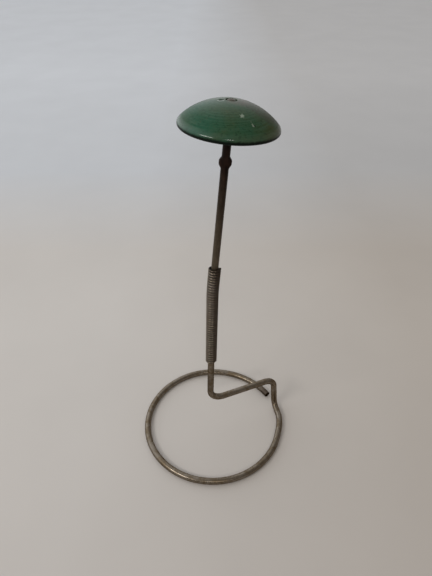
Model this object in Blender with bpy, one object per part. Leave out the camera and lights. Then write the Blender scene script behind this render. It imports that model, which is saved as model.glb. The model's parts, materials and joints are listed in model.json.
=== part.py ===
"""Small tabletop display stand: a domed head on a rod, held over a wire ring by a coil spring neck.

Metres, +Z up. The surface that the stand rests on is z = 0, and the origin is the middle of the
ring's outline. The neck is bent a little at rest, so the rod and the head lean towards +X and +Y.
"""

import math

import bmesh
import bpy
from mathutils import Matrix, Quaternion, Vector

# Driving dimensions
RING_HALF_WIDTH, RING_HALF_DEPTH = 0.0514, 0.0503  # centre line: bent by hand, a little oval
WIRE_DIAMETER = 0.0046
ROD_DIAMETER = 0.0043
HEAD_DIAMETER = 0.0505
SPRING_DIAMETER = 0.0076  # outside of the coils
SPRING_WIRE = 0.0014
SPRING_TURNS = 41.0
SPRING_TIGHTENING = 0.09  # the turns lie closer at the top and wider at the foot, by this share of the mean

# Heights above the surface, measured along each piece's own line
CROSSBAR_HEIGHT = 0.0332
SPRING_FOOT = 0.0754
NECK_PIVOT = 0.1378
SPRING_LENGTH = 0.0800
FLEX_LENGTH = 0.012  # spring between the post's top end and the rod's foot

# Leans from upright, towards +X and towards +Y
POST_LEAN = Vector((math.radians(1.46), math.radians(0.29)))
STEM_LEAN = Vector((math.radians(5.15), math.radians(3.3)))

# The ring: its two ends are straighter than the rest, so its radius grows towards them
FREE_END_ANGLE = 30.0
RISER_ANGLE = 365.5
FREE_END_STRETCH = 45.0
RISER_STRETCH_START = 340.0
RISER_STRETCH = 30.0
FREE_END_GROWTH = 0.0165
RISER_GROWTH = 0.031
RISER_BEND = 0.0056  # centre line of the bend from the ring up into the riser
CROSSBAR_BEND = 0.0090  # of the one from the riser into the crossbar
POST_BEND = 0.0105  # and of the one from the crossbar up into the post

# Corners of the wire and the ring's centre, in plan
RING_CENTRE = (0.0, 0.0009)
RISER_FOOT = (0.05005, 0.01815)
RISER_TOP = (0.04755, 0.01745)
POST_FOOT = (-0.0017, -0.00225)

# The head and what holds it, as distances along the rod from the neck's pivot
HEAD_RIM = 0.0993  # the plane of the head's largest circle
HEAD_CROWN = 0.0121
RIM_SHOULDER, RIM_FOOT = 0.0028, 0.0015  # the rim's rounding above and below that plane
EAR_FOOT, EAR_LOW, EAR_HIGH, EAR_TOP = 0.0775, 0.0803, 0.0820, 0.0844
EAR_SPAN = 0.0067
EAR_THICKNESS = 0.0033
SOCKET_DEPTH = 0.005
SPIGOT_DIAMETER = 0.0026
BORE_DIAMETER = 0.0032
POCKET_DIAMETER = 0.0056
POCKET_DEPTH = 0.0013
POCKET_DRAFT = 0.0002  # how much narrower the pocket's floor is, on the radius
BURR_DIAMETER = 0.0048
BURR_THICKNESS = 0.0006
PEEN_DIAMETER = 0.0037
PEEN_HEIGHT = 0.0005
SOCKET_CLEARANCE = 0.0003
SEAT_GAP = 0.0002

WIRE_SIDES = 12
SPRING_SIDES = 6
SPRING_STEPS = 14  # points in one turn
ROD_SIDES = 24
TURNED_STEPS = 48


def material(name, colour, roughness, metallic):
    """A Principled material."""
    made = bpy.data.materials.new(name)
    made.use_nodes = True
    shader = made.node_tree.nodes["Principled BSDF"]
    shader.inputs["Base Color"].default_value = (*colour, 1)
    shader.inputs["Roughness"].default_value = roughness
    shader.inputs["Metallic"].default_value = metallic
    return made


def linked(name, data, finish, parent=None):
    """A new object in the scene, with its material."""
    made = bpy.data.objects.new(name, data)
    data.materials.append(finish)
    bpy.context.scene.collection.objects.link(made)
    made.parent = parent
    return made


def smoothstep(share):
    share = min(max(share, 0.0), 1.0)
    return share * share * (3 - 2 * share)


# --- the base wire ---


def ring_point(angle):
    """A point of the ring's centre line. The angle is in degrees, from +X towards +Y."""
    free_end = max(0.0, (FREE_END_ANGLE + FREE_END_STRETCH - angle) / FREE_END_STRETCH)
    riser_end = (angle - RISER_STRETCH_START) / RISER_STRETCH
    growth = FREE_END_GROWTH * free_end**2 + RISER_GROWTH * smoothstep(riser_end)
    turn = math.radians(angle)
    spoke = Vector((RING_HALF_WIDTH * math.cos(turn), RING_HALF_DEPTH * math.sin(turn), 0))
    return Vector((*RING_CENTRE, 0)) + spoke * (1 + growth)


def bend(before, corner, after, radius, steps=10):
    """An arc that rounds off a corner."""
    inward, outward = (before - corner).normalized(), (after - corner).normalized()
    half = inward.angle(outward) / 2
    centre = corner + (inward + outward).normalized() * radius / math.sin(half)
    start = corner + inward * radius / math.tan(half) - centre
    turn = start.rotation_difference(corner + outward * radius / math.tan(half) - centre)
    return [centre + Quaternion().slerp(turn, step / steps) @ start for step in range(steps + 1)]


def lean(angles):
    """The turn from upright to a lean towards +X and one towards +Y."""
    return Quaternion((0, 1, 0), angles[0]) @ Quaternion((-1, 0, 0), angles[1])


def base_wire_path():
    """The wire's centre line, from the ring's free end to the post's top, on the ring's own plane."""
    bar = CROSSBAR_HEIGHT - WIRE_DIAMETER / 2
    riser_foot = Vector((*RISER_FOOT, 0))
    riser_top = Vector((*RISER_TOP, bar))
    post_foot = Vector((*POST_FOOT, bar))
    post_length = NECK_PIVOT - FLEX_LENGTH / 2 - CROSSBAR_HEIGHT
    post_top = post_foot + lean(POST_LEAN) @ Vector((0, 0, post_length))
    steps = 60
    sweep = RISER_ANGLE - FREE_END_ANGLE
    ring = [ring_point(FREE_END_ANGLE + sweep * step / steps) for step in range(steps + 1)]
    return (
        ring
        + bend(ring[-1], riser_foot, riser_top, RISER_BEND)
        + bend(riser_foot, riser_top, post_foot, CROSSBAR_BEND)
        + bend(riser_top, post_foot, post_top, POST_BEND)
        + [post_top]
    )


def ring_middle():
    """The middle of the ring's outline, seen from above."""
    path = base_wire_path()
    middle = [(min(p[axis] for p in path) + max(p[axis] for p in path)) / 2 for axis in (0, 1)]
    return Vector((*middle, 0))


def wire_tube(name, path, diameter, sides, finish, origin, tilt=0.0):
    """A round wire along a path: a curve with a bevel and filled caps."""
    curve = bpy.data.curves.new(name, "CURVE")
    curve.dimensions = "3D"
    curve.twist_mode = "MINIMUM"
    curve.bevel_depth = diameter / 2
    curve.bevel_resolution = (sides - 4) // 2
    curve.use_fill_caps = True
    spline = curve.splines.new("POLY")
    spline.points.add(len(path) - 1)
    for point, place in zip(spline.points, path):
        point.co = (*(place - origin), 1)
        point.tilt = tilt
    spline.use_smooth = True
    made = linked(name, curve, finish)
    made.location = origin
    return made


def facet_height(diameter, sides):
    """From the middle of a polygonal tube to the flat of one of its sides."""
    return diameter / 2 * math.cos(math.pi / sides)


def add_base_wire(finish, shift):
    path = [point + shift for point in base_wire_path()]
    half_facet = math.pi / WIRE_SIDES
    return wire_tube("base_wire", path, WIRE_DIAMETER, WIRE_SIDES, finish, Vector(), half_facet)


# --- the spring neck ---


def neck_pivot(shift):
    """Where the post's line and the rod's line meet: the middle of the stretch that flexes."""
    post_foot = Vector((*POST_FOOT, CROSSBAR_HEIGHT - WIRE_DIAMETER / 2))
    return post_foot + shift + lean(POST_LEAN) @ Vector((0, 0, NECK_PIVOT - CROSSBAR_HEIGHT))


def neck_line(along, pivot):
    """The spring's centre line: the place and lean at a distance from the pivot, up being positive."""
    if abs(along) >= FLEX_LENGTH / 2:
        angles = STEM_LEAN if along > 0 else POST_LEAN
        return pivot + lean(angles) @ Vector((0, 0, along)), angles
    share = along / FLEX_LENGTH + 0.5
    start = pivot + lean(POST_LEAN) @ Vector((0, 0, -FLEX_LENGTH / 2))
    chord = lean(POST_LEAN.lerp(STEM_LEAN, share / 2)) @ Vector((0, 0, FLEX_LENGTH * share))
    return start + chord, POST_LEAN.lerp(STEM_LEAN, share)


def add_neck_spring(finish, pivot):
    """An open-wound helix that grips the post below and the rod above."""
    coil_radius = (SPRING_DIAMETER - SPRING_WIRE) / 2
    steps = int(SPRING_TURNS * SPRING_STEPS)
    lowest = SPRING_FOOT - NECK_PIVOT + SPRING_WIRE / 2
    length = SPRING_LENGTH - SPRING_WIRE
    path = []
    for step in range(steps + 1):
        share = step / steps
        place, angles = neck_line(lowest + length * share, pivot)
        turn = 2 * math.pi * SPRING_TURNS * share * (1 + SPRING_TIGHTENING * (share - 1))
        spoke = Vector((math.cos(turn), math.sin(turn), 0)) * coil_radius
        path.append(place + lean(angles) @ spoke)
    return wire_tube("neck_spring", path, SPRING_WIRE, SPRING_SIDES, finish, pivot)


# --- the rod, the head and the rivet's burr: all on the stem's own axis, from the pivot up ---


def loft(name, stations, sides, finish, parent):
    """A solid through stacked ellipses, each one (height, half width along X, half width along Y)."""
    shell = bmesh.new()
    rings = []
    for height, half_x, half_y in stations:
        turns = [2 * math.pi * side / sides for side in range(sides)]
        rings.append(
            [shell.verts.new((half_x * math.cos(t), half_y * math.sin(t), height)) for t in turns]
        )
    for lower, upper in zip(rings, rings[1:]):
        for side in range(sides):
            after = (side + 1) % sides
            shell.faces.new((lower[side], lower[after], upper[after], upper[side]))
    shell.faces.new(reversed(rings[0]))
    shell.faces.new(rings[-1])
    return finished(name, shell, finish, parent)


def turned(name, outline, finish, parent):
    """A body turned about the stem's axis from a closed outline of (radius, height) points."""
    shell = bmesh.new()
    points = [shell.verts.new((radius, 0, height)) for radius, height in outline]
    edges = [shell.edges.new((a, b)) for a, b in zip(points, points[1:] + points[:1])]
    bmesh.ops.spin(
        shell,
        geom=points + edges,
        cent=(0, 0, 0),
        axis=(0, 0, 1),
        angle=2 * math.pi,
        steps=TURNED_STEPS,
        use_merge=True,
    )
    bmesh.ops.remove_doubles(shell, verts=shell.verts, dist=1e-6)
    bmesh.ops.recalc_face_normals(shell, faces=shell.faces)
    return finished(name, shell, finish, parent)


def finished(name, shell, finish, parent):
    """The mesh as an object, smooth except at its sharp edges."""
    mesh = bpy.data.meshes.new(name)
    shell.to_mesh(mesh)
    shell.free()
    mesh.shade_smooth()
    mesh.set_sharp_from_angle(angle=math.radians(35))
    return linked(name, mesh, finish, parent)


def crown_sphere():
    """The radius of the crown's sphere and the height of its centre above the rim's plane."""
    shoulder = HEAD_DIAMETER / 2 - RIM_SHOULDER
    radius = (shoulder**2 + HEAD_CROWN**2 - RIM_SHOULDER**2) / (2 * (HEAD_CROWN - RIM_SHOULDER))
    return radius, HEAD_CROWN - radius


def head_levels():
    """Heights above the pivot: underside, socket floor, pocket floor and crown."""
    underside = HEAD_RIM - RIM_FOOT
    crown = HEAD_RIM + HEAD_CROWN
    return underside, underside + SOCKET_DEPTH, crown - POCKET_DEPTH, crown


def add_head_dome(finish, stem):
    """A shallow dome with a rounded rim, a socket for the rod and a pocket for the rivet."""
    underside, socket_floor, pocket_floor, _ = head_levels()
    sphere, centre = crown_sphere()
    shoulder, foot = HEAD_DIAMETER / 2 - RIM_SHOULDER, HEAD_DIAMETER / 2 - RIM_FOOT
    rim_turn = math.atan2(-centre, shoulder)  # where the crown's sphere runs into the rim's round
    pocket_turn = math.acos(POCKET_DIAMETER / 2 / sphere)
    socket = ROD_DIAMETER / 2 + SOCKET_CLEARANCE
    bore = BORE_DIAMETER / 2
    outline = [
        (socket, underside),
        (socket, socket_floor),
        (bore, socket_floor),
        (bore, pocket_floor),
        (POCKET_DIAMETER / 2 - POCKET_DRAFT, pocket_floor),
    ]
    for step in range(13):
        turn = pocket_turn + (rim_turn - pocket_turn) * step / 12
        outline.append(
            (sphere * math.cos(turn), HEAD_RIM + centre + sphere * math.sin(turn))
        )
    for step in range(1, 6):
        turn = rim_turn * (1 - step / 5)
        outline.append(
            (shoulder + RIM_SHOULDER * math.cos(turn), HEAD_RIM + RIM_SHOULDER * math.sin(turn))
        )
    for step in range(1, 5):
        turn = math.pi / 2 * step / 4
        outline.append((foot + RIM_FOOT * math.cos(turn), HEAD_RIM - RIM_FOOT * math.sin(turn)))
    return turned("head_dome", outline, finish, stem)


def add_rivet_burr(finish, stem):
    """The washer that the rod's end is hammered over, at the bottom of the pocket."""
    foot = head_levels()[2] + SEAT_GAP
    top = foot + BURR_THICKNESS
    hole, rim, edge = BORE_DIAMETER / 2, BURR_DIAMETER / 2, BURR_THICKNESS / 3
    outline = [(hole, foot), (hole, top), (rim - edge, top), (rim, top - edge), (rim, foot)]
    return turned("rivet_burr", outline, finish, stem)


def add_stem_rod(finish, stem):
    """The rod, its two pinched ears, and the spigot hammered over above the burr."""
    rod, ear, pinch = ROD_DIAMETER / 2, EAR_SPAN / 2, EAR_THICKNESS / 2
    spigot, chamfer = SPIGOT_DIAMETER / 2, 0.0003
    shoulder = head_levels()[1] - SEAT_GAP
    peen_foot = head_levels()[2] + BURR_THICKNESS + 2 * SEAT_GAP
    foot = FLEX_LENGTH / 2
    stations = [
        (foot, rod - chamfer, rod - chamfer),
        (foot + chamfer, rod, rod),
        (EAR_FOOT, rod, rod),
        ((EAR_FOOT + EAR_LOW) / 2, (rod + ear) / 2, (rod + pinch) / 2),
        (EAR_LOW, ear, pinch),
        (EAR_HIGH, ear, pinch),
        ((EAR_HIGH + EAR_TOP) / 2, (rod + ear) / 2, (rod + pinch) / 2),
        (EAR_TOP, rod, rod),
        (shoulder, rod, rod),
        (shoulder + chamfer, spigot, spigot),
        (peen_foot, spigot, spigot),
    ]
    for step in range(5):
        turn = math.pi / 2 * step / 5
        radius = PEEN_DIAMETER / 2 * math.cos(turn)
        stations.append((peen_foot + PEEN_HEIGHT * math.sin(turn), radius, radius))
    return loft("stem_rod", stations, ROD_SIDES, finish, stem)


def main():
    for leftover in list(bpy.data.objects):
        bpy.data.objects.remove(leftover)
    steel = material("grey_steel", (0.27, 0.25, 0.22), 0.42, 1.0)
    spring_steel = material("spring_steel", (0.23, 0.21, 0.18), 0.38, 1.0)
    brown_steel = material("brown_steel", (0.07, 0.05, 0.035), 0.45, 0.9)
    green_paint = material("green_paint", (0.035, 0.13, 0.065), 0.38, 0.0)

    shift = Vector((0, 0, facet_height(WIRE_DIAMETER, WIRE_SIDES))) - ring_middle()
    pivot = neck_pivot(shift)
    stem = bpy.data.objects.new("stem_axis", None)
    bpy.context.scene.collection.objects.link(stem)
    stem.matrix_world = Matrix.Translation(pivot) @ lean(STEM_LEAN).to_matrix().to_4x4()

    add_base_wire(steel, shift)
    add_neck_spring(spring_steel, pivot)
    add_stem_rod(brown_steel, stem)
    add_head_dome(green_paint, stem)
    add_rivet_burr(steel, stem)


main()
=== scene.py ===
"""The looks of the small display stand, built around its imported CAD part.

Metres, +Z up, in the row's frame: the stand rests on z = 0 and its front faces -Y. The rod, the head and
the burr are drawn about the stem's own axis, with heights counted along it from the neck's pivot.
"""

import json
import math

import bpy
from mathutils import Matrix, Quaternion, Vector, noise


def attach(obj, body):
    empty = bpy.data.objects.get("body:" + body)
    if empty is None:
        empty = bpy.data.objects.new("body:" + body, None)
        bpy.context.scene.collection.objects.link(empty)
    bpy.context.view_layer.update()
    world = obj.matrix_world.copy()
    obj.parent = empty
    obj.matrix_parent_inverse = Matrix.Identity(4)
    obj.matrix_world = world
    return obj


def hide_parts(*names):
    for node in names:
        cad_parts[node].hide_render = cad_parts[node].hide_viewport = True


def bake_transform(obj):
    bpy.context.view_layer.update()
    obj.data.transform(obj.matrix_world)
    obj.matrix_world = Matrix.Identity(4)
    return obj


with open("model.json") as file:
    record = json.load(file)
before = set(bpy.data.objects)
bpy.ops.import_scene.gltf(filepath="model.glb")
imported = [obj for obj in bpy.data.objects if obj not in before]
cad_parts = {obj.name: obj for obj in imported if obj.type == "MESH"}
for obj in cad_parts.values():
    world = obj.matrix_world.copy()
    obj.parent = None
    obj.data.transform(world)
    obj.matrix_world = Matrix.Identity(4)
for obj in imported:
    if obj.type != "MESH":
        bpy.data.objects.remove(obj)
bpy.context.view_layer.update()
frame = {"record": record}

# --- the stand's driving dimensions, as in the CAD ---

# The base wire. Angles go round the ring in degrees, from +X towards +Y. Over the last stretch to either end
# the ring opens out, by a share of its radius.
WIRE_RADIUS = 0.0023
RING_CENTRE = (0.0, 0.0009)
RING_HALF_WIDTH, RING_HALF_DEPTH = 0.0514, 0.0503
FREE_END_ANGLE, RISER_ANGLE = 30.0, 365.5
FREE_END_STRETCH, FREE_END_GROWTH = 45.0, 0.0165
RISER_STRETCH_START, RISER_STRETCH, RISER_GROWTH = 340.0, 30.0, 0.031
RISER_FOOT, RISER_TOP, POST_FOOT = (0.05005, 0.01815), (0.04755, 0.01745), (-0.0017, -0.00225)
RISER_BEND, CROSSBAR_BEND, POST_BEND = 0.0056, 0.0090, 0.0105
CROSSBAR_HEIGHT = 0.0332

# The neck: the post's and the stem's leans are towards +X and towards +Y
NECK_HEIGHT = 0.1378
FLEX_LENGTH = 0.012
POST_LEAN = Vector((math.radians(1.46), math.radians(0.29)))
STEM_LEAN = Vector((math.radians(5.15), math.radians(3.3)))
PIVOT = Vector(frame["record"]["behaviour"]["joints"][0]["pos_m"])

SPRING_FOOT = 0.0754
SPRING_LENGTH = 0.0800
SPRING_TURNS = 41.0
SPRING_TIGHTENING = 0.09  # the turns are closer than the mean at the top by this share, and wider below
SPRING_WIRE_RADIUS = 0.0007
COIL_RADIUS = 0.0031
COIL_START = SPRING_FOOT - NECK_HEIGHT + SPRING_WIRE_RADIUS  # where the wire's middle starts, from the pivot
COIL_RUN = SPRING_LENGTH - 2 * SPRING_WIRE_RADIUS

ROD_RADIUS, ROD_CHAMFER = 0.00215, 0.0003
EAR_FOOT, EAR_LOW, EAR_HIGH, EAR_TOP = 0.0775, 0.0803, 0.0820, 0.0844
EAR_REACH, EAR_PINCH = 0.00335, 0.00165
SPIGOT_RADIUS = 0.0013
PEEN_RADIUS, PEEN_HEIGHT = 0.00185, 0.0005

HEAD_RADIUS = 0.02525
HEAD_RIM = 0.0993
HEAD_CROWN = 0.0121
RIM_SHOULDER, RIM_FOOT = 0.0028, 0.0015
SOCKET_RADIUS, SOCKET_DEPTH = 0.00245, 0.005
BORE_RADIUS = 0.0016
POCKET_RADIUS, POCKET_DEPTH, POCKET_DRAFT, POCKET_LIP = 0.0028, 0.0013, 0.0002, 0.0003
BURR_RADIUS, BURR_THICKNESS, BURR_EDGE = 0.0024, 0.0006, 0.00025
SEAT_GAP = 0.0002

# --- what the drawn pieces add to the CAD ---

BURR_CROWN = 0.0004  # paint and swaged metal between the burr and the peened end
DENT_PLACE, DENT_RADIUS, DENT_DEPTH = (-0.0048, -0.0008), 0.0017, 0.0004
DENT_STEEPNESS = 1.6
CREST_LIFT = math.radians(34)  # how far the spring's line left bare of painted shade lies above the widest line of a turn, towards where the lamps' highlight falls
WIRE_WOBBLE, DOME_WOBBLE, BURR_WOBBLE = 0.00003, 0.00006, 0.00004
WIRE_WOBBLE_GRAIN, WIRE_WOBBLE_ROUND, TURNED_WOBBLE_GRAIN = 90.0, 0.7, 120.0
WIRE_CUT, COIL_CUT = 0.00012, 0.00005  # the chamfers on a wire's cut ends
CUT_FACE_V = -1.0  # v on a wire's cut faces, where it is no distance along the wire

# How finely the meshes are cut. The spring's steps are those of one turn.
SHARP_ANGLE = math.radians(40)
RING_STEPS, BEND_STEPS, WIRE_STEP, WIRE_SIDES = 360, 24, 0.0010, 28
COIL_STEPS, COIL_SIDES = 36, 14
ROD_STEPS, ROD_SIDES, PEEN_STEPS = 24, 48, 9
LIP_STEPS, CROWN_STEPS, SHOULDER_STEPS, RIM_STEPS, DOME_SIDES, BURR_SIDES = 5, 56, 14, 10, 176, 64


def smoothstep(share):
    share = min(max(share, 0.0), 1.0)
    return share * share * (3 - 2 * share)


def lean(angles):
    """The turn from upright to a lean towards +X and one towards +Y."""
    return Quaternion((0, 1, 0), angles[0]) @ Quaternion((-1, 0, 0), angles[1])


STEM = Matrix.Translation(PIVOT) @ lean(STEM_LEAN).to_matrix().to_4x4()


# --- meshes ---


def made_piece(name, points, faces, finish, uvs=None, place=None):
    """A mesh object, smooth except at its sharp edges. uvs has one pair for each face corner."""
    mesh = bpy.data.meshes.new(name)
    mesh.from_pydata([tuple(point) for point in points], [], faces)
    mesh.materials.append(finish)
    if uvs:
        layer = mesh.uv_layers.new(name="UVMap")
        layer.data.foreach_set("uv", [value for pair in uvs for value in pair])
    mesh.validate()
    mesh.shade_smooth()
    mesh.set_sharp_from_angle(angle=SHARP_ANGLE)
    piece = bpy.data.objects.new(name, mesh)
    bpy.context.scene.collection.objects.link(piece)
    if place:
        piece.matrix_world = place
    return piece


def tube_faces(rings, sides):
    """Faces between rings of points that follow each other, and one face over each end."""
    faces = []
    for i in range(rings - 1):
        for j in range(sides):
            after = (j + 1) % sides
            faces.append((i * sides + j, i * sides + after, (i + 1) * sides + after, (i + 1) * sides + j))
    faces.append(tuple(reversed(range(sides))))
    faces.append(tuple(range((rings - 1) * sides, rings * sides)))
    return faces


def resampled(path, step):
    """Points at even distances along a path."""
    lengths = [0.0]
    for a, b in zip(path, path[1:]):
        lengths.append(lengths[-1] + (b - a).length)
    count = max(2, round(lengths[-1] / step))
    points, index = [], 0
    for i in range(count + 1):
        want = lengths[-1] * i / count
        while index < len(path) - 2 and lengths[index + 1] < want:
            index += 1
        span = lengths[index + 1] - lengths[index]
        points.append(path[index].lerp(path[index + 1], (want - lengths[index]) / span))
    return points


def followed(path):
    """Each point of a path with its tangent, a side direction without twist, and the distance so far."""
    tangents = []
    for i in range(len(path)):
        before, after = path[max(i - 1, 0)], path[min(i + 1, len(path) - 1)]
        tangents.append((after - before).normalized())
    across = tangents[0].orthogonal().normalized()
    rings, along = [], 0.0
    for i, (place, tangent) in enumerate(zip(path, tangents)):
        if i:
            across = tangents[i - 1].rotation_difference(tangent) @ across
            along += (place - path[i - 1]).length
        across = (across - tangent * across.dot(tangent)).normalized()
        rings.append((place, tangent, across, along))
    return rings


def unshaded_side(out, tangent):
    """The way from a coil's wire to its line that the painted shade leaves bare: outwards, and a little up.
    """
    rise = tangent.cross(out)
    return out * math.cos(CREST_LIFT) + (rise * rise.z).normalized() * math.sin(CREST_LIFT)


def swept(name, path, radius, sides, finish, cut, wobble=0.0, middles=None):
    """A round wire along a path, whose cut ends have chamfers as wide as cut.

    u runs round the wire, and v along it in metres. On a coil, middles holds the coil's middle beside each
    point of the path, and the attribute "crest" is 1 on the bare line that the painted shade leaves and 0
    far from it.
    """
    rings = followed(path)
    ends = []
    for ring, sign in ((rings[0], -1), (rings[-1], 1)):
        place, tangent, side, at = ring
        ends.append((place + tangent * sign * cut, tangent, side, at + sign * cut))
    rings = [ends[0]] + rings + [ends[1]]
    points, crest = [], []
    for i, (place, tangent, side, _) in enumerate(rings):
        other = tangent.cross(side)
        shrink = cut if i in (0, len(rings) - 1) else 0.0
        middle = middles[min(max(i - 1, 0), len(path) - 1)] if middles else place
        # the coil's painted shade leaves this side of the wire bare, lifted towards where the lamps'
        # highlight falls
        clean = unshaded_side((place - middle).normalized(), tangent)
        for j in range(sides):
            turn = 2 * math.pi * j / sides
            spoke = side * math.cos(turn) + other * math.sin(turn)
            spot = place * WIRE_WOBBLE_GRAIN + spoke * WIRE_WOBBLE_ROUND
            uneven = wobble * noise.noise(spot) if wobble else 0.0
            points.append(place + spoke * (radius - shrink + uneven))
            crest.append(max(0.0, spoke.dot(clean)))
    uvs = []
    for (*_, low), (*_, high) in zip(rings, rings[1:]):
        for j in range(sides):
            left, right = j / sides, (j + 1) / sides
            uvs += [(left, low), (right, low), (right, high), (left, high)]
    uvs += [(0.5, CUT_FACE_V)] * (2 * sides)
    piece = made_piece(name, points, tube_faces(len(rings), sides), finish, uvs)
    if middles:
        piece.data.attributes.new("crest", "FLOAT", "POINT").data.foreach_set("value", crest)
    return piece


def turned(name, outline, steps, finish, wobble, reshape=list):
    """A body turned about the stem's axis from a closed outline of (radius, height) points.

    Its surface strays by up to about wobble, and reshape can move its points.
    """
    points, rows = [], []
    for radius, height in outline:
        rows.append(range(len(points), len(points) + steps))
        for j in range(steps):
            turn = 2 * math.pi * j / steps
            spot = Vector((math.cos(turn), math.sin(turn), 0)) * radius
            shift = wobble * noise.noise(Vector((spot.x, spot.y, height)) * TURNED_WOBBLE_GRAIN)
            points.append((spot.x * (1 + shift / radius), spot.y * (1 + shift / radius), height))
    faces = []
    for a, b in zip(rows, rows[1:] + rows[:1]):
        for j in range(steps):
            after = (j + 1) % steps
            faces.append((a[j], a[after], b[after], b[j]))
    return made_piece(name, list(reshape(points)), faces, finish, place=STEM)


def lofted(name, stations, sides, finish):
    """A body on the stem's axis through stacked ellipses: (height, half width in X, half width in Y)."""
    points = []
    for height, half_x, half_y in stations:
        for j in range(sides):
            turn = 2 * math.pi * j / sides
            points.append((half_x * math.cos(turn), half_y * math.sin(turn), height))
    return made_piece(name, points, tube_faces(len(stations), sides), finish, place=STEM)


def arc(middle, radius, start, end, steps):
    """Points of an arc in an outline's plane, without the first one."""
    for step in range(1, steps + 1):
        turn = start + (end - start) * step / steps
        yield (middle[0] + radius * math.cos(turn), middle[1] + radius * math.sin(turn))


# --- the wires' lines ---


def ring_point(angle):
    free_end = max(0.0, (FREE_END_ANGLE + FREE_END_STRETCH - angle) / FREE_END_STRETCH)
    riser_end = (angle - RISER_STRETCH_START) / RISER_STRETCH
    growth = FREE_END_GROWTH * free_end**2 + RISER_GROWTH * smoothstep(riser_end)
    turn = math.radians(angle)
    spoke = Vector((RING_HALF_WIDTH * math.cos(turn), RING_HALF_DEPTH * math.sin(turn), 0))
    return Vector((*RING_CENTRE, 0)) + spoke * (1 + growth)


def bend(before, corner, after, radius):
    """The arc that rounds the corner between two straight stretches."""
    inward, outward = (before - corner).normalized(), (after - corner).normalized()
    half = inward.angle(outward) / 2
    centre = corner + (inward + outward).normalized() * radius / math.sin(half)
    start = corner + inward * radius / math.tan(half) - centre
    turn = start.rotation_difference(corner + outward * radius / math.tan(half) - centre)
    return [centre + Quaternion().slerp(turn, step / BEND_STEPS) @ start for step in range(BEND_STEPS + 1)]


def base_wire_path():
    """The wire's centre line, and the pivot, both on the ring's own plane and about its centre."""
    bar = CROSSBAR_HEIGHT - WIRE_RADIUS
    foot, top, post = Vector((*RISER_FOOT, 0)), Vector((*RISER_TOP, bar)), Vector((*POST_FOOT, bar))
    post_top = post + lean(POST_LEAN) @ Vector((0, 0, NECK_HEIGHT - FLEX_LENGTH / 2 - CROSSBAR_HEIGHT))
    pivot = post + lean(POST_LEAN) @ Vector((0, 0, NECK_HEIGHT - CROSSBAR_HEIGHT))
    sweep = RISER_ANGLE - FREE_END_ANGLE
    path = [ring_point(FREE_END_ANGLE + sweep * step / RING_STEPS) for step in range(RING_STEPS + 1)]
    path += bend(path[-1], foot, top, RISER_BEND)
    path += bend(foot, top, post, CROSSBAR_BEND)
    path += bend(top, post, post_top, POST_BEND)
    return path + [post_top], pivot


def neck_line(along):
    """The spring's centre line: the place and lean at a distance from the pivot, up being positive."""
    if abs(along) >= FLEX_LENGTH / 2:
        angles = STEM_LEAN if along > 0 else POST_LEAN
        return PIVOT + lean(angles) @ Vector((0, 0, along)), angles
    share = along / FLEX_LENGTH + 0.5
    start = PIVOT + lean(POST_LEAN) @ Vector((0, 0, -FLEX_LENGTH / 2))
    chord = lean(POST_LEAN.lerp(STEM_LEAN, share / 2)) @ Vector((0, 0, FLEX_LENGTH * share))
    return start + chord, POST_LEAN.lerp(STEM_LEAN, share)


def coil_path(first, last):
    """The spring wire's line between two distances from the pivot, and the coil's middle beside it."""
    pitch = COIL_RUN / SPRING_TURNS
    count = max(2, round((last - first) / pitch * COIL_STEPS))
    path, middles = [], []
    for i in range(count + 1):
        along = first + (last - first) * i / count
        place, angles = neck_line(along)
        share = (along - COIL_START) / COIL_RUN
        turn = 2 * math.pi * SPRING_TURNS * share * (1 + SPRING_TIGHTENING * (share - 1))
        path.append(place + lean(angles) @ Vector((math.cos(turn), math.sin(turn), 0)) * COIL_RADIUS)
        middles.append(place)
    return path, middles


# --- materials ---


class Nodes:
    """A node tree, with short ways to add to it."""

    def __init__(self, tree):
        self.tree = tree

    def add(self, kind, inputs=None, **settings):
        made = self.tree.nodes.new(kind)
        for key, value in settings.items():
            setattr(made, key, value)
        for key, value in (inputs or {}).items():
            self.put(made.inputs[key], value)
        return made

    def put(self, socket, value):
        if isinstance(value, bpy.types.NodeSocket):
            self.tree.links.new(value, socket)
        else:
            socket.default_value = value

    def math(self, operation, a, b=0.0, clamp=False):
        made = self.add("ShaderNodeMath", {0: a, 1: b}, operation=operation, use_clamp=clamp)
        return made.outputs[0]

    def vector(self, operation, a, b=(0.0, 0.0, 0.0)):
        made = self.add("ShaderNodeVectorMath", {0: a, 1: b}, operation=operation)
        return made.outputs["Value" if operation in ("LENGTH", "DISTANCE", "DOT_PRODUCT") else "Vector"]

    def parts(self, vector):
        return self.add("ShaderNodeSeparateXYZ", {0: vector}).outputs

    def noise(self, vector, scale, detail=3.0, roughness=0.6, distortion=0.0):
        """Soft noise. Where the vector is a place, scale is the cells in each metre."""
        inputs = {"Vector": vector, "Scale": scale, "Detail": detail}
        inputs |= {"Roughness": roughness, "Distortion": distortion}
        return self.add("ShaderNodeTexNoise", inputs).outputs["Fac"]

    def span(self, value, given, wanted=(0.0, 1.0)):
        """The value moved from the given range to the wanted one, and kept inside it."""
        inputs = {0: value, 1: given[0], 2: given[1], 3: wanted[0], 4: wanted[1]}
        return self.add("ShaderNodeMapRange", inputs).outputs[0]

    def ragged(self, value, grain, amount):
        """The value, moved up by amount where the noise in grain is high, and down where it is low."""
        return self.math("ADD", value, self.span(grain, NOISE_RANGE, (-amount, amount)))

    def mix(self, share, a, b, blend="MIX"):
        inputs = {0: share, 6: a if isinstance(a, bpy.types.NodeSocket) else (*a, 1)}
        inputs[7] = b if isinstance(b, bpy.types.NodeSocket) else (*b, 1)
        made = self.add("ShaderNodeMix", inputs, data_type="RGBA", blend_type=blend)
        return made.outputs[2]

    def bump(self, height, distance, strength, normal=None):
        inputs = {"Height": height, "Distance": distance, "Strength": strength}
        if normal:
            inputs["Normal"] = normal
        return self.add("ShaderNodeBump", inputs).outputs["Normal"]


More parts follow.
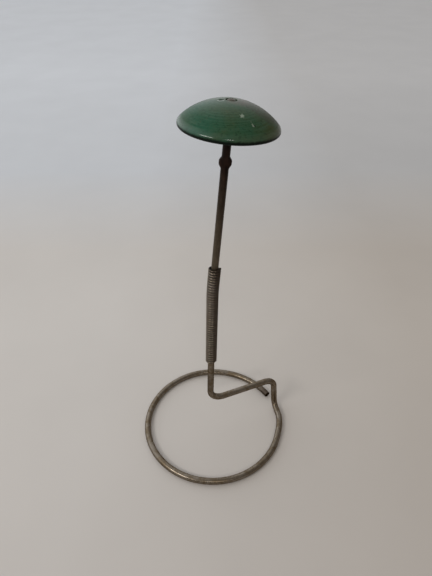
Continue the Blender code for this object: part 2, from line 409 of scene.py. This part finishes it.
class Finish(Nodes):
    """A material. Its node where gives the place on the piece, in the piece's own metres."""

    def __init__(self, name):
        self.material = bpy.data.materials.new(name)
        self.material.use_nodes = True
        super().__init__(self.material.node_tree)
        self.where = self.add("ShaderNodeTexCoord").outputs["Object"]

    def shaded(self, **values):
        """The material with values for its shader, whose input names have underscores in place of spaces."""
        shader = self.tree.nodes["Principled BSDF"]
        for key, value in values.items():
            self.put(shader.inputs[key.replace("_", " ")], value)
        return self.material


NOISE_RANGE = (0.3, 0.7)  # nearly all of a noise lies in here
DRAWN_LINES = (26.0, 55.0, 1.0)  # streaks round the wire, and in each metre along it
END_STAIN, END_STAIN_EDGE = (0.004, 0.013), 0.004  # the stain at a free end fades between these distances
CREST_RANGE, CREST_EDGE = (0.90, 0.985), 0.015  # "crest", where a coil's painted shade between the turns gives way to bare metal
# painted shade: the first tone darkens the coil between and beneath its turns, the second darkens its +X
# side
PAINTED_GROOVE_SHADE, PAINTED_SIDE_SHADE = (0.012, 0.009, 0.007), (0.05, 0.036, 0.027)
PAINTED_SIDE_SHADE_FADE = (0.0002, 0.0034)  # the coil's painted shade on its +X side grows between these places along X


def worn_steel(name, clean, brown, dark, rough, edge, pits, coiled=False):
    """Drawn steel: lines along the wire, brown patches, dark pits, a stained free end and dark cut faces.

    The free end is where v is 0. On a coil, painted shade darkens the grooves and the lower side of each
    turn, leaving the crests bare, and painted shade darkens the +X side.
    """
    t = Finish(name)
    around = t.add("ShaderNodeUVMap", uv_map="UVMap").outputs[0]
    along = t.parts(around)["Y"]
    lines = t.noise(t.vector("MULTIPLY", around, DRAWN_LINES), scale=1.0, detail=4.0)
    patches = t.noise(t.where, scale=70.0, detail=4.0, distortion=0.4)
    specks = t.noise(t.where, scale=900.0)
    mottle = t.noise(t.where, scale=330.0)

    wide, small = t.span(patches, (0.40, 0.66), (0.0, 0.7)), t.span(mottle, (0.45, 0.65), (-0.1, 0.6))
    blotch = t.math("ADD", wide, small, clamp=True)
    stain = t.span(t.ragged(along, mottle, END_STAIN_EDGE), END_STAIN, (0.9, 0.0))
    cut_face = t.span(along, (0.5 * CUT_FACE_V, 0.4 * CUT_FACE_V), (1.0, 0.0))
    colour = t.mix(blotch, clean, brown)
    colour = t.mix(t.span(lines, (0.30, 0.75), (0.0, 0.5)), colour, dark)
    colour = t.mix(t.span(specks, (0.62, 0.72), (0.0, 0.8)), colour, dark)
    colour = t.mix(stain, colour, dark)
    colour = t.mix(cut_face, colour, tuple(0.4 * value for value in dark))
    gloss = t.span(blotch, (0.0, 1.0), (rough, rough + 0.14))
    gloss = t.math("ADD", gloss, t.span(specks, NOISE_RANGE, (-0.05, 0.07)))
    metal = 1.0

    if coiled:
        crest = t.add("ShaderNodeAttribute", attribute_name="crest").outputs["Fac"]
        # painted shade between and beneath the turns; only the line where the lamps' highlight falls stays
        # bare metal
        groove_shade = t.span(t.ragged(crest, patches, CREST_EDGE), CREST_RANGE, (1.0, 0.0))
        # painted shade on the coil's +X side, away from the light
        side_shade = t.span(t.parts(t.where)["X"], PAINTED_SIDE_SHADE_FADE, (0.0, 0.7))
        colour = t.mix(groove_shade, colour, PAINTED_GROOVE_SHADE)
        colour = t.mix(side_shade, colour, PAINTED_SIDE_SHADE)
        gloss = t.math("ADD", gloss, t.span(groove_shade, (0.0, 1.0), (0.0, 0.30)))
        metal = t.span(groove_shade, (0.0, 1.0), (1.0, 0.0))

    drawn = t.bump(lines, distance=0.7 * pits, strength=0.6)
    normal = t.bump(t.span(specks, (0.55, 0.75), (0.0, -1.0)), distance=pits, strength=0.7, normal=drawn)
    return t.shaded(
        Base_Color=colour,
        Metallic=metal,
        Roughness=gloss,
        Normal=normal,
        Specular_IOR_Level=0.1,
        Specular_Tint=(*edge, 1),
    )


ROD_LOW_TONES = (0.070, 0.054, 0.035), (0.115, 0.094, 0.066)
ROD_HIGH_SHADED_TONES = (0.007, 0.004, 0.003), (0.029, 0.014, 0.010)
ROD_SHADE_FADE = (0.02, 0.079)  # the heights between which the low tones turn into the high ones, which add painted shade from the dome to the oxide
ROD_BARE_START = (HEAD_RIM, HEAD_RIM + 0.001)  # the heights between which the worn end begins
ROD_SPECK, ROD_BARE = (0.010, 0.007, 0.005), (0.125, 0.105, 0.086)
ROD_GRAIN = (1.0, 1.0, 0.35)  # the patches are longer than they are wide


def rod_steel(name):
    """Dark brown oxide, browner and a little brighter lower down, darker higher up partly from painted shade
    of the dome above, and worn off the end in the head.
    """
    t = Finish(name)
    height = t.parts(t.where)["Z"]
    patches = t.noise(t.vector("MULTIPLY", t.where, ROD_GRAIN), scale=420.0, detail=4.0, roughness=0.65)
    specks = t.noise(t.where, scale=1500.0)
    patchy = t.span(patches, (0.35, 0.65))
    # darker towards the top: dark oxide, with painted shade from the dome above
    colour = t.mix(t.span(height, ROD_SHADE_FADE), t.mix(patchy, *ROD_LOW_TONES), t.mix(patchy, *ROD_HIGH_SHADED_TONES))
    colour = t.mix(t.span(specks, (0.60, 0.72), (0.0, 0.7)), colour, ROD_SPECK)
    colour = t.mix(t.span(height, ROD_BARE_START, (0.0, 0.8)), colour, ROD_BARE)
    gloss = t.span(patches, NOISE_RANGE, (0.28, 0.46))
    uneven = t.bump(patches, distance=0.00006, strength=0.6)
    normal = t.bump(specks, distance=0.00003, strength=0.5, normal=uneven)
    return t.shaded(Base_Color=colour, Metallic=0.5, Roughness=gloss, Specular_IOR_Level=0.15, Normal=normal)


PAINT_COOL, PAINT_OLIVE = (0.019, 0.088, 0.049), (0.050, 0.069, 0.024)
PAINT_PALE, PAINT_DARK = (0.060, 0.125, 0.080), (0.007, 0.024, 0.012)
# the faded top tone is partly faded paint and partly painted sheen of the light from above; the underside
# tone is painted shade
PAINT_BROWN, PAINT_FADED_SHEEN, PAINT_UNDER_SHADE = (0.062, 0.068, 0.036), (0.085, 0.140, 0.100), (0.005, 0.009, 0.006)
PAINT_OLIVE_FADE = (-0.016, 0.020)  # the paint turns from cool to olive between these places along X
PAINT_RINGS = 1300.0  # noise cells in each metre outwards, for the turning marks
PAINT_RINGS_ROUND = (2.2, 2.2, 0.0)  # and how far the noise moves on the way round

# Pairs of heights on the dome: between the first two the dull underside and its painted shade end, between
# the next two the glossy rim turns dull, and between the last two the top gets glossy and lighter, from
# faded paint and painted sheen
PAINT_UNDER_END = (HEAD_RIM, HEAD_RIM + 0.0010)
PAINT_RIM_END = (HEAD_RIM + 0.0018, HEAD_RIM + 0.0034)
PAINT_TOP = (HEAD_RIM + 0.0065, HEAD_RIM + 0.0115)
PAINT_RIM_COAT, PAINT_SIDE_COAT, PAINT_TOP_COAT, PAINT_FADED_SHEEN_SHARE = 0.8, 0.08, 0.42, 0.22
PAINT_UNDER_SHADE_EDGE = (HEAD_RADIUS - 0.0026, HEAD_RADIUS - 0.0014)  # the underside's painted shade is darkest outside this

# a painted highlight glint on the dent's near edge, on its side towards -Y
DENT_GLINT, DENT_GLINT_SIDE = (0.42, 0.52, 0.45), (-0.25, -0.968, 0.0)
DENT_GLINT_RADIUS, DENT_GLINT_EDGE = 0.93 * DENT_RADIUS, (0.0003, 0.0006)
DENT_HOLLOW_SHADE = (0.75 * DENT_RADIUS, 0.9 * DENT_RADIUS)  # the painted shade in the dent's hollow ends between these radii
SCUFF = (0.0150, 0.0010, 0.1080), 0.0100, (0.048, 0.045, 0.034)  # place, radius and colour
POCKET_WEAR = (0.0030, -0.0005, 0.1112), 0.0062, (0.120, 0.100, 0.082)
CHIPS = (
    ((0.0045, -0.0139, 0.1080), 0.0011, (0.24, 0.30, 0.23)),
    ((0.0097, -0.0172, 0.1049), 0.0006, (0.20, 0.24, 0.19)),
    ((0.0092, -0.0165, 0.1054), 0.0005, (0.17, 0.21, 0.16)),
    ((0.0087, -0.0157, 0.1060), 0.0004, (0.12, 0.15, 0.11)),
    ((0.0104, -0.0168, 0.1049), 0.0005, (0.02, 0.03, 0.02)),
    ((0.0036, -0.0143, 0.1078), 0.0004, (0.01, 0.02, 0.01)),
)


def near(t, spot, radius, grain):
    """A ragged round mask about a spot, one inside and zero outside."""
    away = t.math("DIVIDE", t.vector("DISTANCE", t.where, spot), radius)
    return t.span(t.ragged(away, grain, 0.5), (0.85, 1.10), (1.0, 0.0))


def turning_marks(t, flat, reach):
    """Faint rings about the dome's axis, as a noise that is far finer outwards than round the axis."""
    outwards = t.add("ShaderNodeCombineXYZ", {0: t.math("MULTIPLY", reach, PAINT_RINGS)}).outputs[0]
    aim = t.vector("MULTIPLY", t.vector("NORMALIZE", flat), PAINT_RINGS_ROUND)
    return t.noise(t.vector("ADD", aim, outwards), scale=1.0)


def with_dent(t, colour, flat, grain):
    """The colour with painted shade in the dent's hollow, and a painted highlight glint on its near edge."""
    off = t.vector("SUBTRACT", flat, (*DENT_PLACE, 0.0))
    away = t.vector("LENGTH", off)
    facing = t.vector("DOT_PRODUCT", t.vector("NORMALIZE", off), DENT_GLINT_SIDE)
    from_line = t.math("ABSOLUTE", t.math("SUBTRACT", away, DENT_GLINT_RADIUS))
    band = t.span(from_line, DENT_GLINT_EDGE, (1.0, 0.0))
    glint = t.math("MULTIPLY", band, t.span(t.ragged(facing, grain, 0.1), (0.45, 0.65)))
    hollow = t.span(away, DENT_HOLLOW_SHADE, (0.85, 0.0))
    return t.mix(glint, t.mix(hollow, colour, PAINT_DARK), DENT_GLINT)


def green_paint(name):
    """Worn gloss paint over turned wood: uneven green, faint turning rings, chips, painted shade on the
    rim's underside, and a worn top lightened by faded paint and painted sheen.
    """
    t = Finish(name)
    flat = t.vector("MULTIPLY", t.where, (1.0, 1.0, 0.0))
    reach = t.vector("LENGTH", flat)
    height = t.parts(t.where)["Z"]
    turning = turning_marks(t, flat, reach)
    broad = t.noise(t.where, scale=60.0, roughness=0.5, distortion=0.3)
    speckle = t.noise(t.where, scale=700.0, detail=4.0, roughness=0.7)
    grain = t.noise(t.where, scale=900.0, detail=4.0, roughness=0.7)
    fine = t.noise(t.where, scale=1400.0)

    sideways = t.span(t.parts(t.where)["X"], PAINT_OLIVE_FADE, (0.0, 0.9))
    olive = t.math("ADD", sideways, t.span(broad, (0.35, 0.65), (-0.35, 0.35)), clamp=True)
    colour = t.mix(olive, PAINT_COOL, PAINT_OLIVE)
    colour = t.mix(t.span(turning, (0.48, 0.70), (0.0, 0.55)), colour, PAINT_PALE)
    colour = t.mix(t.span(turning, (0.44, 0.28), (0.0, 0.35)), colour, PAINT_DARK)
    colour = t.mix(t.span(speckle, (0.52, 0.66), (0.0, 0.45)), colour, PAINT_DARK)
    colour = t.mix(t.span(speckle, (0.44, 0.34), (0.0, 0.35)), colour, PAINT_BROWN)
    top = t.span(height, PAINT_TOP)
    # the top lightened: partly faded paint, partly painted sheen of the light from above
    colour = t.mix(t.math("MULTIPLY", top, PAINT_FADED_SHEEN_SHARE), colour, PAINT_FADED_SHEEN)

    place, radius, tone = SCUFF
    scuff = t.math("MULTIPLY", near(t, place, radius, broad), t.span(grain, (0.36, 0.62), (0.1, 0.7)))
    colour = t.mix(scuff, colour, tone)
    # painted shade on the rim's lower half and the underside, darkest near the edge
    underside_shade = t.span(t.ragged(height, grain, 0.0003), PAINT_UNDER_END, (1.0, 0.0))
    strength = t.span(reach, PAINT_UNDER_SHADE_EDGE, (0.6, 1.0))
    colour = t.mix(t.math("MULTIPLY", underside_shade, strength), colour, PAINT_UNDER_SHADE)
    place, radius, tone = POCKET_WEAR
    worn = t.math("MULTIPLY", near(t, place, radius, grain), t.span(grain, (0.40, 0.56), (0.15, 0.75)))
    colour = t.mix(worn, colour, tone)
    for place, radius, tone in CHIPS:
        colour = t.mix(near(t, place, radius, grain), colour, tone)
    colour = with_dent(t, colour, flat, grain)

    gloss = t.span(grain, NOISE_RANGE, (0.28, 0.44))
    coat = t.span(height, PAINT_RIM_END, (PAINT_RIM_COAT, PAINT_SIDE_COAT))
    coat = t.math("MULTIPLY", coat, t.span(height, PAINT_UNDER_END))
    coat = t.math("ADD", coat, t.math("MULTIPLY", top, PAINT_TOP_COAT))
    ringed = t.bump(turning, distance=0.00004, strength=0.5)
    normal = t.bump(fine, distance=0.00002, strength=0.5, normal=ringed)
    return t.shaded(
        Base_Color=colour,
        Roughness=gloss,
        Specular_IOR_Level=0.05,
        Coat_Weight=coat,
        Coat_Roughness=0.15,
        Normal=normal,
    )


BURR_PAINT, BURR_BARE = (0.045, 0.090, 0.060), (0.130, 0.105, 0.088)


def burr_paint(name):
    """Paint over dull steel, worn through to brown on its high spots."""
    t = Finish(name)
    patches = t.noise(t.where, scale=700.0, detail=4.0, roughness=0.65)
    specks = t.noise(t.where, scale=1500.0, roughness=0.55)
    colour = t.mix(t.span(patches, (0.42, 0.56)), BURR_PAINT, BURR_BARE)
    colour = t.mix(t.span(specks, (0.58, 0.70), (0.0, 0.6)), colour, PAINT_DARK)
    gloss = t.span(patches, NOISE_RANGE, (0.34, 0.50))
    normal = t.bump(patches, distance=0.00005, strength=0.6)
    return t.shaded(Base_Color=colour, Roughness=gloss, Specular_IOR_Level=0.35, Normal=normal)


wire_finish = worn_steel(
    "grey_steel",
    clean=(0.300, 0.260, 0.212),
    brown=(0.185, 0.140, 0.090),
    dark=(0.075, 0.056, 0.042),
    rough=0.20,
    edge=(0.45, 0.42, 0.38),
    pits=0.00003,
)
coil_finish = worn_steel(
    "spring_steel",
    clean=(0.50, 0.425, 0.335),
    brown=(0.285, 0.220, 0.160),
    dark=(0.10, 0.075, 0.055),
    rough=0.10,
    edge=(0.13, 0.11, 0.09),
    pits=0.000008,
    coiled=True,
)
rod_finish = rod_steel("brown_steel")
paint = green_paint("green_paint")
burr_finish = burr_paint("burr_steel")


# --- the pieces ---


def add_base_wire():
    path, pivot = base_wire_path()
    shift = PIVOT - pivot
    path = resampled([point + shift for point in path], WIRE_STEP)
    piece = swept("wire_base", path, WIRE_RADIUS, WIRE_SIDES, wire_finish, WIRE_CUT, WIRE_WOBBLE)
    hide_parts("base_wire")
    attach(piece, "base")


def add_neck_spring():
    """The spring in two pieces that meet at the pivot."""
    path, middles = coil_path(COIL_START, 0.0)
    low = swept("coils_lower", path, SPRING_WIRE_RADIUS, COIL_SIDES, coil_finish, COIL_CUT, middles=middles)
    path, middles = coil_path(0.0, COIL_START + COIL_RUN)
    path, middles = path[::-1], middles[::-1]  # it starts at the top, where the wire's free end is stained
    high = swept("coils_upper", path, SPRING_WIRE_RADIUS, COIL_SIDES, coil_finish, COIL_CUT, middles=middles)
    for piece in (low, high):
        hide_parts("neck_spring")
    tuple(neck_line(-FLEX_LENGTH / 2)[0])
    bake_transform(low)
    tuple(neck_line(FLEX_LENGTH / 2)[0])
    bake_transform(high)


def add_stem_rod():
    """The rod from its foot in the spring, through the two ears, to the end that is peened over the burr."""
    rod, foot = ROD_RADIUS, FLEX_LENGTH / 2
    straight = foot + ROD_CHAMFER
    shoulder = HEAD_RIM - RIM_FOOT + SOCKET_DEPTH - SEAT_GAP
    peen_foot = HEAD_RIM + HEAD_CROWN - POCKET_DEPTH + BURR_THICKNESS + 2 * SEAT_GAP
    stations = [(foot, rod - ROD_CHAMFER, rod - ROD_CHAMFER)]
    for step in range(ROD_STEPS + 1):
        stations.append((straight + (EAR_FOOT - straight) * step / ROD_STEPS, rod, rod))
    for step in range(1, ROD_STEPS + 1):
        height = EAR_FOOT + (EAR_TOP - EAR_FOOT) * step / ROD_STEPS
        rise = smoothstep((height - EAR_FOOT) / (EAR_LOW - EAR_FOOT))
        swell = rise * smoothstep((EAR_TOP - height) / (EAR_TOP - EAR_HIGH))
        stations.append((height, rod + (EAR_REACH - rod) * swell, rod + (EAR_PINCH - rod) * swell))
    stations += [(shoulder - ROD_CHAMFER, rod, rod), (shoulder, SPIGOT_RADIUS, SPIGOT_RADIUS)]
    stations += [(peen_foot, SPIGOT_RADIUS, SPIGOT_RADIUS)]
    for step in range(PEEN_STEPS):
        turn = math.pi / 2 * step / PEEN_STEPS
        radius = PEEN_RADIUS * math.cos(turn)
        stations.append((peen_foot + PEEN_HEIGHT * math.sin(turn), radius, radius))
    piece = lofted("rod_stem", stations, ROD_SIDES, rod_finish)
    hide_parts("stem_rod")
    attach(piece, "stem")


def dented(points):
    """The dome's points, with a shallow dent pressed in beside the pocket."""
    for x, y, z in points:
        away = math.hypot(x - DENT_PLACE[0], y - DENT_PLACE[1]) / DENT_RADIUS
        if away < 1.0 and z > HEAD_RIM + HEAD_CROWN / 2:
            z -= DENT_DEPTH * smoothstep((1.0 - away) * DENT_STEEPNESS)
        yield (x, y, z)


def add_head_dome():
    """The dome: socket and bore up the middle, the pocket and its lip, the crown, and the rounded rim."""
    underside, crown = HEAD_RIM - RIM_FOOT, HEAD_RIM + HEAD_CROWN
    shoulder, foot = HEAD_RADIUS - RIM_SHOULDER, HEAD_RADIUS - RIM_FOOT
    sphere = (shoulder**2 + HEAD_CROWN**2 - RIM_SHOULDER**2) / (2 * (HEAD_CROWN - RIM_SHOULDER))
    centre = HEAD_CROWN - sphere
    rim_turn = math.atan2(-centre, shoulder)
    lip = POCKET_RADIUS + POCKET_LIP
    lip_turn = math.acos(lip / sphere)
    lip_height = HEAD_RIM + centre + sphere * math.sin(lip_turn) - POCKET_LIP
    socket_top, floor = underside + SOCKET_DEPTH, crown - POCKET_DEPTH
    outline = [(SOCKET_RADIUS, underside), (SOCKET_RADIUS, socket_top)]
    outline += [(BORE_RADIUS, socket_top), (BORE_RADIUS, floor)]
    outline += [(POCKET_RADIUS - POCKET_DRAFT, floor), (POCKET_RADIUS, lip_height)]
    outline += arc((lip, lip_height), POCKET_LIP, math.pi, lip_turn, LIP_STEPS)
    outline += arc((0.0, HEAD_RIM + centre), sphere, lip_turn, rim_turn, CROWN_STEPS)
    outline += arc((shoulder, HEAD_RIM), RIM_SHOULDER, rim_turn, 0.0, SHOULDER_STEPS)
    outline += arc((foot, HEAD_RIM), RIM_FOOT, 0.0, -math.pi / 2, RIM_STEPS)
    outline.append((foot / 2, underside))
    piece = turned("dome_head", outline[::-1], DOME_SIDES, paint, DOME_WOBBLE, reshape=dented)
    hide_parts("head_dome")
    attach(piece, "stem")


def add_burr():
    foot = HEAD_RIM + HEAD_CROWN - POCKET_DEPTH + SEAT_GAP
    edge = foot + BURR_THICKNESS - BURR_EDGE
    top = foot + BURR_THICKNESS + BURR_CROWN
    outline = [(BORE_RADIUS, foot), (BORE_RADIUS, top), (BURR_RADIUS - 2 * BURR_EDGE, top)]
    outline += [(BURR_RADIUS, edge), (BURR_RADIUS, foot)]
    piece = turned("burr", outline[::-1], BURR_SIDES, burr_finish, BURR_WOBBLE)
    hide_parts("rivet_burr")
    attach(piece, "stem")


# --- the studio ---

# The floor's tones from the front to the back, each taking over from the last between two places along Y
FLOOR_FRONT = (0.63, 0.592, 0.558)
FLOOR_TONES = (
    ((-0.12, 0.10), (0.72, 0.685, 0.65)),
    ((0.24, 0.46), (0.735, 0.76, 0.80)),
    ((0.46, 1.00), (0.87, 0.90, 0.95)),
)
FLOOR_PAINTED_SHADE, FLOOR_PAINTED_SHADE_FADE = (0.82, 0.785, 0.745), (-0.10, 0.20)  # painted shade: it darkens towards +X, away from the light on the left
FLOOR_CLOUD = (0.97, 0.97, 0.97)
FLOOR_HALF = 3.0
SKY_SIDE, SKY_SIDE_FADE = (-0.72, 0.58, 0.38), (-0.3, 1.0)  # the way to the sky's bright side
SKY_DIM, SKY_BRIGHT = 0.26, 1.22
SKY_WARM, SKY_COOL = (1.0, 0.93, 0.86), (0.93, 0.965, 1.0)
LAMP_DISTANCE, LAMP_TARGET, LAMP_COLOUR = 1.6, Vector((0, 0, 0.12)), (1.0, 0.98, 0.95)
CAMERA_PLACE = (0.00247, -0.21939, 0.31722)
CAMERA_PITCH, CAMERA_ROLL = math.radians(39.2), math.radians(-0.4)
CAMERA_SENSOR, CAMERA_LENS = 36.0, 29.0625  # millimetres


def add_floor():
    """Pale paper: warm in front, cool far behind, and a little darker on the right with painted shade."""
    mesh = bpy.data.meshes.new("studio_floor")
    half = FLOOR_HALF
    corners = [(-half, -half, 0), (half, -half, 0), (half, half, 0), (-half, half, 0)]
    mesh.from_pydata(corners, [], [(0, 1, 2, 3)])
    t = Finish("floor_paper")
    place = t.parts(t.where)
    tone = FLOOR_FRONT
    for stretch, further in FLOOR_TONES:
        tone = t.mix(t.span(place["Y"], stretch), tone, further)
    # painted shade towards +X
    tone = t.mix(t.span(place["X"], FLOOR_PAINTED_SHADE_FADE), tone, FLOOR_PAINTED_SHADE, "MULTIPLY")
    cloud = t.span(t.noise(t.where, scale=9.0, roughness=0.55), (0.35, 0.65))
    tone = t.mix(cloud, tone, FLOOR_CLOUD, "MULTIPLY")
    mesh.materials.append(t.shaded(Base_Color=tone, Roughness=0.7))
    floor = bpy.data.objects.new("studio_floor", mesh)
    bpy.context.scene.collection.objects.link(floor)


def add_sky():
    """A broad sky that is brightest low on the left and behind."""
    world = bpy.data.worlds.new("studio")
    bpy.context.scene.world = world
    world.use_nodes = True
    sky = Nodes(world.node_tree)
    towards = sky.add("ShaderNodeTexCoord").outputs["Generated"]
    share = sky.span(sky.vector("DOT_PRODUCT", towards, SKY_SIDE), SKY_SIDE_FADE)
    strength = sky.span(sky.math("POWER", share, 2.0), (0.0, 1.0), (SKY_DIM, SKY_BRIGHT))
    background = world.node_tree.nodes["Background"]
    sky.put(background.inputs["Strength"], strength)
    sky.put(background.inputs["Color"], sky.mix(share, SKY_WARM, SKY_COOL))


def add_lamp(name, azimuth, elevation, width, height, power):
    """A soft lamp round the stand: azimuth from the front towards the right, in degrees."""
    light = bpy.data.lights.new(name, "AREA")
    light.shape, light.size, light.size_y = "RECTANGLE", width, height
    light.energy, light.color = power, LAMP_COLOUR
    turn, rise = math.radians(azimuth), math.radians(elevation)
    out = Vector((math.cos(rise) * math.sin(turn), -math.cos(rise) * math.cos(turn), math.sin(rise)))
    lamp = bpy.data.objects.new(name, light)
    lamp.location = out * LAMP_DISTANCE
    lamp.rotation_mode = "QUATERNION"
    lamp.rotation_quaternion = (LAMP_TARGET - lamp.location).to_track_quat("-Z", "Y")
    bpy.context.scene.collection.objects.link(lamp)


def add_camera():
    """At the photograph's angle, looking down by CAMERA_PITCH."""
    pitch, roll = CAMERA_PITCH, CAMERA_ROLL
    ahead = Vector((0, math.cos(pitch), -math.sin(pitch)))
    right = Vector((math.cos(roll), math.sin(pitch) * math.sin(roll), math.cos(pitch) * math.sin(roll)))
    up = right.cross(ahead)
    data = bpy.data.cameras.new("camera")
    data.sensor_width, data.lens = CAMERA_SENSOR, CAMERA_LENS
    data.clip_start, data.clip_end = 0.01, 20.0
    camera = bpy.data.objects.new("camera", data)
    turn = Matrix((right, up, -ahead)).transposed().to_4x4()
    camera.matrix_world = Matrix.Translation(CAMERA_PLACE) @ turn
    bpy.context.scene.collection.objects.link(camera)
    bpy.context.scene.camera = camera


add_base_wire()
add_neck_spring()
add_stem_rod()
add_head_dome()
add_burr()
add_floor()
add_sky()
add_lamp("window", azimuth=-52, elevation=42, width=0.70, height=0.20, power=5.2)
add_lamp("second_window", azimuth=5, elevation=42, width=0.36, height=0.12, power=1.9)
add_camera()
bpy.context.scene.view_settings.view_transform = "Standard"

bpy.context.view_layer.update()
